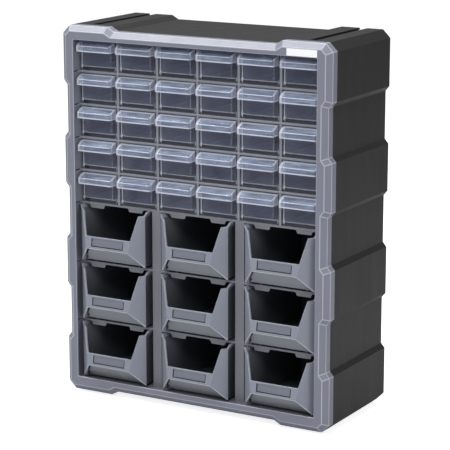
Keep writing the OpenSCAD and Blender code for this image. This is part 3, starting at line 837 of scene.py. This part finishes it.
# %% [markdown]
# ## Painted shade on the walls
# The photograph shows the bins' insides and the narrow gaps between them nearly black. Shade does most of that in
# the render too. The rest is painted shade, a darker grey on the walls behind the nose: one for the faces that
# look out to the side, and a darker one for the inner faces and the bottom.

# %% Finishes of the walls
def body_wall(at):
    """Behind the nose, between the bottom and the rim."""
    return at.y > SIDE_Y + 5 * MM and BASE + MM < at.z < MOUTH


# The bin's finishes: grey, a painted highlight for its edges, and painted shade for the grooves, the inner walls, the
# recess floor and the outer sides.
finishes(shell, bin_grey, bin_edge_highlight, bin_groove_painted_shade, bin_inside_painted_shade, bin_recess_painted_shade, bin_side_painted_shade)
print("outer sides:", refinish(shell, bin_side_painted_shade, lambda at, facing: body_wall(at) and outward(at, facing) > MOSTLY))
print("inner faces:", refinish(shell, bin_inside_painted_shade, lambda at, facing: body_wall(at) and (
    facing.z > MOSTLY or facing.y < -MOSTLY or outward(at, facing) < -MOSTLY)))

# %% [markdown]
# ## Label recess in the bar
# A card label slides into a shallow recess, which has a deeper groove along its two ends and its lower edge. The
# bar's face is cut to the recess's outline and pushed in. An inset then separates a border from the recess's
# floor, and three sides of the border are pushed in further.

# %% Label recess in the bar
RECESS_HALF, RECESS_DEEP, GROOVE_DEEP = 24 * MM, 0.7 * MM, 1.1 * MM
RECESS_LOW, RECESS_HIGH = BAR_FOOT + 3 * MM, BAR_FOOT + 14 * MM


def in_bar(at, facing):
    """On the bar's face, away from its ends."""
    return facing.dot(BAR_FACING) > EXACTLY and at.z < BAR_TOP and aside(at) < 34 * MM


def height(at):
    """How far a place stands out from the bar's face."""
    return (at - Vector((BIN_X, BAR_Y, BAR_FOOT))).dot(BAR_FACING)


bpy.ops.object.mode_set(mode="EDIT")
for point, normal in (((BIN_X - RECESS_HALF, 0, 0), (1, 0, 0)), ((BIN_X + RECESS_HALF, 0, 0), (1, 0, 0)),
                      ((0, 0, RECESS_LOW), (0, 0, 1)), ((0, 0, RECESS_HIGH), (0, 0, 1))):
    pick_faces(in_bar)
    bpy.ops.mesh.bisect(plane_co=point, plane_no=normal)
print("recess faces:", pick_faces(lambda at, facing: in_bar(at, facing) and aside(at) < RECESS_HALF - MM
                                  and RECESS_LOW < at.z < RECESS_HIGH))
bpy.ops.mesh.extrude_region_move(TRANSFORM_OT_translate={"value": BAR_FACING * -RECESS_DEEP})
bpy.ops.mesh.inset(thickness=1.4 * MM)
print("groove faces:", pick_faces(lambda at, facing: in_bar(at, facing) and near(height(at), -RECESS_DEEP) and (
    aside(at) > RECESS_HALF - 1.5 * MM or at.z < RECESS_LOW + 1.5 * MM)))
bpy.ops.mesh.extrude_region_move(TRANSFORM_OT_translate={"value": BAR_FACING * -GROOVE_DEEP})

# %% [markdown]
# ## Painted highlights on the lip and the grip edge
# The lip of the mouth and the edge over the grip are light lines in the photograph. Their edges are bevelled a
# little wider than the rest, straight in the lighter finish, which is a painted highlight. The grooves and the
# recess's floor get their painted shade by how deep they lie.

# %% Painted highlights on the lip and the grip edge
def on_plane(at, point, facing):
    return abs((at - Vector(point)).dot(facing)) < 0.1 * MM


def in_plane(along, facing):
    return abs(along.dot(facing)) < 0.02


print("lip edges:", pick_edges(lambda at, along: on_plane(at, (BIN_X, TOP_Y, BAR_TOP), MOUTH_FACING)
                               and BAR_TOP - 0.1 * MM < at.z < MOUTH + 0.1 * MM and in_plane(along, MOUTH_FACING)))
# The lip's wider bevel takes the painted highlight.
bpy.ops.mesh.bevel(offset=0.95 * MM, segments=3, affect="EDGES", clamp_overlap=True, material=1)
print("grip edges:", pick_edges(lambda at, along: on_plane(at, (BIN_X, BAR_Y, BAR_FOOT), GRIP_FACING)
                                and in_plane(along, GRIP_FACING) and at.y < SIDE_Y + MM))
# So does the wider bevel over the grip.
bpy.ops.mesh.bevel(offset=0.8 * MM, segments=2, affect="EDGES", clamp_overlap=True, material=1)
bpy.ops.object.mode_set(mode="OBJECT")
# Painted shade in the grooves of the label recess.
refinish(shell, bin_groove_painted_shade, lambda at, facing: -1.9 * MM < height(at) < -1.1 * MM
         and aside(at) < RECESS_HALF + 0.1 * MM and RECESS_LOW - 0.2 * MM < at.z < RECESS_HIGH + 0.2 * MM)
# Painted shade on the recess's floor.
refinish(shell, bin_recess_painted_shade, lambda at, facing: facing.dot(BAR_FACING) > 0.99
         and near(height(at), -RECESS_DEEP, 0.2 * MM) and aside(at) < RECESS_HALF and RECESS_LOW < at.z < RECESS_HIGH)
round_edges(shell, 0.5 * MM)

# %% [markdown]
# ## Grip panel
# Behind the grip opening a sloping panel closes the bin, so that parts don't fall out over the fingers. It is a
# slab, cut from a block by two planes that face along the slope, one plane at the bottom and the two sides of the
# nose. A groove runs round its middle, from an inset of which the ends are pushed in. The panel is a lighter grey
# than the bin, which is painted light on a slope that faces down, and the pushed-in ends are painted shade.

# %% Grip panel
GRIP_WALL, GRIP_INSET, GRIP_GROOVE = 4 * MM, 6 * MM, 3 * MM
GRIP_FOOT = Vector((BIN_X, GRIP_BACK, BASE))

grip = cube_between((BIN_X - BIN_HALF + MM, GRIP_BACK - 22 * MM, BASE - 10 * MM),
                    (BIN_X + BIN_HALF - MM, GRIP_BACK + 10 * MM, BAR_FOOT + BIN_WALL))
cut_off(GRIP_FOOT, GRIP_FACING)
cut_off(GRIP_FOOT - GRIP_FACING * GRIP_WALL, -GRIP_FACING)
cut_off(GRIP_FOOT, (0, 0, -1))
cut_nose(BIN_HALF - MM)
pick_points(lambda at: at.y > SIDE_Y + MM)
widen(BIN_HALF - STEP - MM)
pick_faces(lambda at, facing: facing.dot(GRIP_FACING) > EXACTLY)
bpy.ops.mesh.inset(thickness=GRIP_INSET)
print("ends:", pick_faces(lambda at, facing: facing.dot(GRIP_FACING) > EXACTLY and aside(at) > 20 * MM))
bpy.ops.mesh.extrude_region_move(TRANSFORM_OT_translate={"value": GRIP_FACING * -GRIP_GROOVE})
# Grip panel finishes: a lighter grey that is painted light, the painted highlight for its edges, and painted shade for
# the pushed-in ends.
finishes(grip, grip_painted_light_grey, bin_edge_highlight, bin_groove_painted_shade)
bpy.ops.object.mode_set(mode="OBJECT")
# Painted shade on the grip panel's pushed-in ends.
refinish(grip, bin_groove_painted_shade, lambda at, facing: facing.dot(GRIP_FACING) > 0.99
         and (at - GRIP_FOOT).dot(GRIP_FACING) < -MM)
round_edges(grip, 0.3 * MM)
print("grip panel", [round(v / MM, 1) for v in grip.dimensions])

# %% [markdown]
# ## Ledge under the bar
# The bar and the grip panel are joined by a ledge, which the fingers pull on from below. It is a thin plate with
# the same slanting sides as the nose, and it reaches back just into the panel.

# %% Ledge under the bar
LEDGE_REAR = GRIP_BACK - (SIDE_Y - BAR_Y) + 1.5 * MM
ledge = cube_between((BIN_X - BIN_HALF + MM, BAR_Y + MM, BAR_FOOT),
                     (BIN_X + BIN_HALF - MM, LEDGE_REAR, BAR_FOOT + BIN_WALL))
cut_nose(BIN_HALF - MM)
# The ledge's rounded edges take the painted highlight.
finishes(ledge, bin_grey, bin_edge_highlight)
round_edges(ledge, 0.3 * MM)
print("ledge", [round(v / MM, 1) for v in ledge.dimensions])

# %% [markdown]
# ## One bin, then nine
# The nine bins also come from one mould, and each slides by itself. One is joined from its three pieces and copied
# in the same way as the drawer.

# %% One bin, then nine
grey_bin = join([shell, grip, ledge], "grey_bin_r1_c1")
copies(grey_bin, "grey_bin_r", "bin_r", BIN_ROWS, BIN_COLUMNS)
print("bins:", len(grey_bin.data.polygons), "faces each")

# %% [markdown]
# ## Sizes
